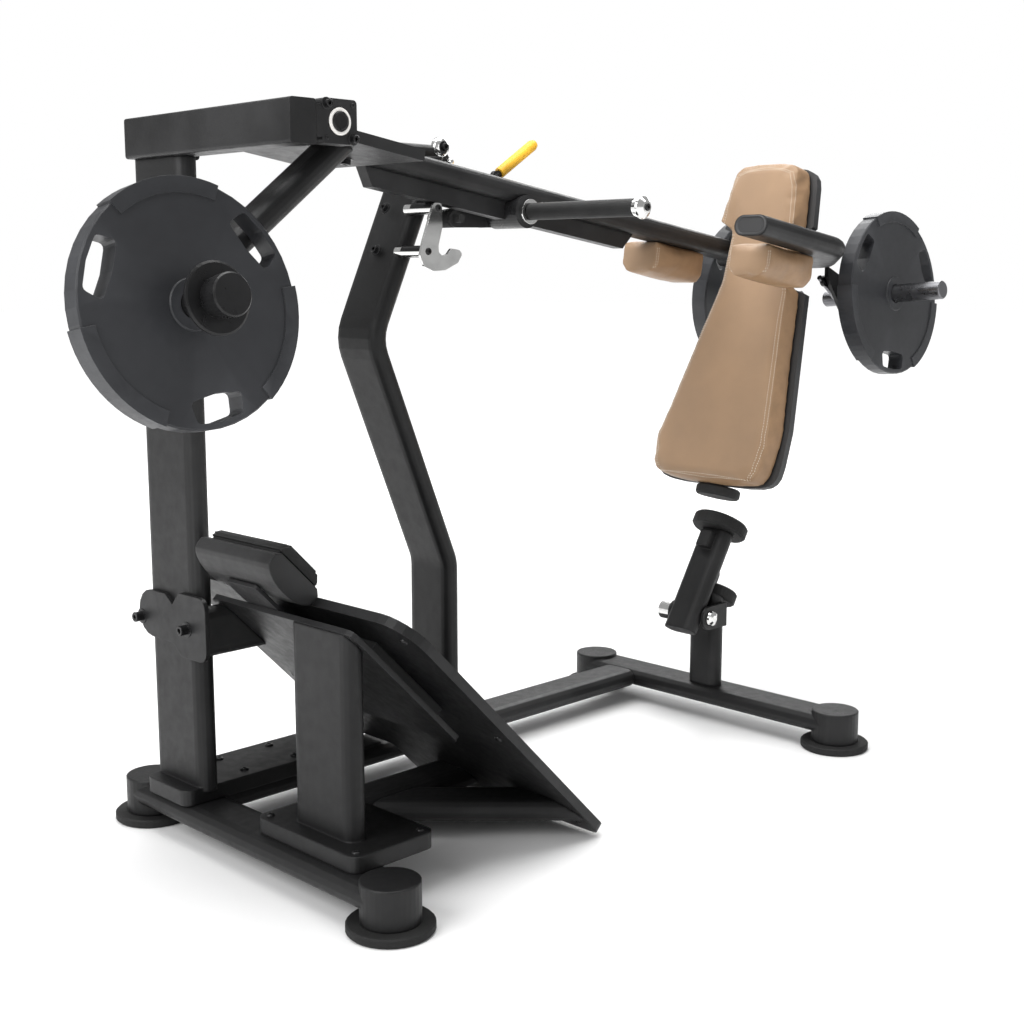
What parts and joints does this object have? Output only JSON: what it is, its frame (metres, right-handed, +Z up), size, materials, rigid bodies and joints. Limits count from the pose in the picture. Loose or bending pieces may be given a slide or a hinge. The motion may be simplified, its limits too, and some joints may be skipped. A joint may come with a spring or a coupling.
{
  "type": "pendulum squat machine",
  "caption": "Plate-loaded pendulum squat machine with a swinging padded arm, a counterweight, a sloping footplate and a flip-up stop.",
  "frame": {"origin": "centre of the bounding box on the floor", "axes": "+X from the counterweight to the back pad, +Y to the side of the upright and the long rail, +Z up"},
  "size_m": [2.699, 1.016, 1.5703],
  "materials": {
    "frame_black": "satin powder coat",
    "black_rubber": "matte",
    "chrome": "polished",
    "dark_steel": "satin",
    "plate_grey": "satin",
    "tan_vinyl": "woven grain",
    "board_grey": "matte",
    "yellow_grip": "satin"
  },
  "bodies": {
    "frame": {"rear_crossbeam": "frame_black", "front_crossbeam": "frame_black", "foot_pad_rear_near": "black_rubber", "foot_pad_rear_far": "black_rubber", "foot_pad_front_near": "black_rubber", "foot_pad_front_far": "black_rubber", "long_rail": "frame_black", "rear_upright": "frame_black", "near_post": "frame_black", "bent_column": "frame_black", "top_beam": "frame_black", "bearing_near": "frame_black", "bearing_far": "frame_black", "link_tube": "frame_black", "hook_plate": "chrome", "footplate": "frame_black", "step_carrier": "frame_black", "footplate_bracket": "frame_black", "footplate_stringer": "frame_black", "footplate_strut": "frame_black", "clamp_plate": "frame_black", "calf_pad_shell": "frame_black", "calf_pad_top": "black_rubber", "calf_pad_tongue": "frame_black", "stop_post": "frame_black", "lower_buffer": "black_rubber", "stop_ear_near": "frame_black", "stop_ear_far": "frame_black", "stop_pin": "chrome"},
    "arm": {"pivot_shaft": "dark_steel", "arm_hub": "frame_black", "hub_plate": "frame_black", "main_arm_tube": "frame_black", "arm_rail_front": "frame_black", "arm_rail_rear": "frame_black", "handle_collar": "frame_black", "shoulder_yoke": "frame_black", "counterweight_lever": "frame_black", "counterweight_horn": "frame_black", "counterweight_cap": "frame_black", "counterweight_plate": "plate_grey", "horn_near": "dark_steel", "horn_far": "dark_steel", "horn_bracket_near": "frame_black", "horn_bracket_far": "frame_black", "back_pad": "tan_vinyl", "back_board": "board_grey", "shoulder_pad_near": "tan_vinyl", "shoulder_pad_far": "tan_vinyl", "pad_bumper": "black_rubber"},
    "handle": {"handle_bar": "chrome", "handle_grip": "black_rubber", "handle_cap": "chrome"},
    "lock": {"lock_lever": "frame_black", "lock_grip": "yellow_grip", "lock_roller": "black_rubber"},
    "stop": {"stop_tube": "frame_black", "stop_disc": "black_rubber"},
    "plate_near": {"plate_near": "plate_grey"},
    "plate_far": {"plate_far": "plate_grey"}
  },
  "joints": [
    {"name": "arm_swing", "type": "hinge", "parent": "frame", "child": "arm", "pos_m": [-0.8058, 0, 1.52], "axis": [0, -1, 0], "range_deg": [0, 20]},
    {"name": "handle_twist", "type": "hinge", "parent": "arm", "child": "handle", "pos_m": [0.0012, 0, 1.3845], "axis": [0, -1, 0], "range_deg": [-45, 45]},
    {"name": "lock_swing", "type": "hinge", "parent": "arm", "child": "lock", "pos_m": [0.0012, 0, 1.3845], "axis": [0, -1, 0], "range_deg": [0, 8]},
    {"name": "stop_flip", "type": "hinge", "parent": "frame", "child": "stop", "pos_m": [0.5762, 0, 0.3], "axis": [0, -1, 0], "range_deg": [0, 70]},
    {"name": "plate_near_slide", "type": "slide", "parent": "arm", "child": "plate_near", "axis": [0, -0.9968, 0.0802], "range_m": [0, 0.15]},
    {"name": "plate_far_slide", "type": "slide", "parent": "arm", "child": "plate_far", "axis": [0, 0.9968, 0.0802], "range_m": [0, 0.15]}
  ]
}
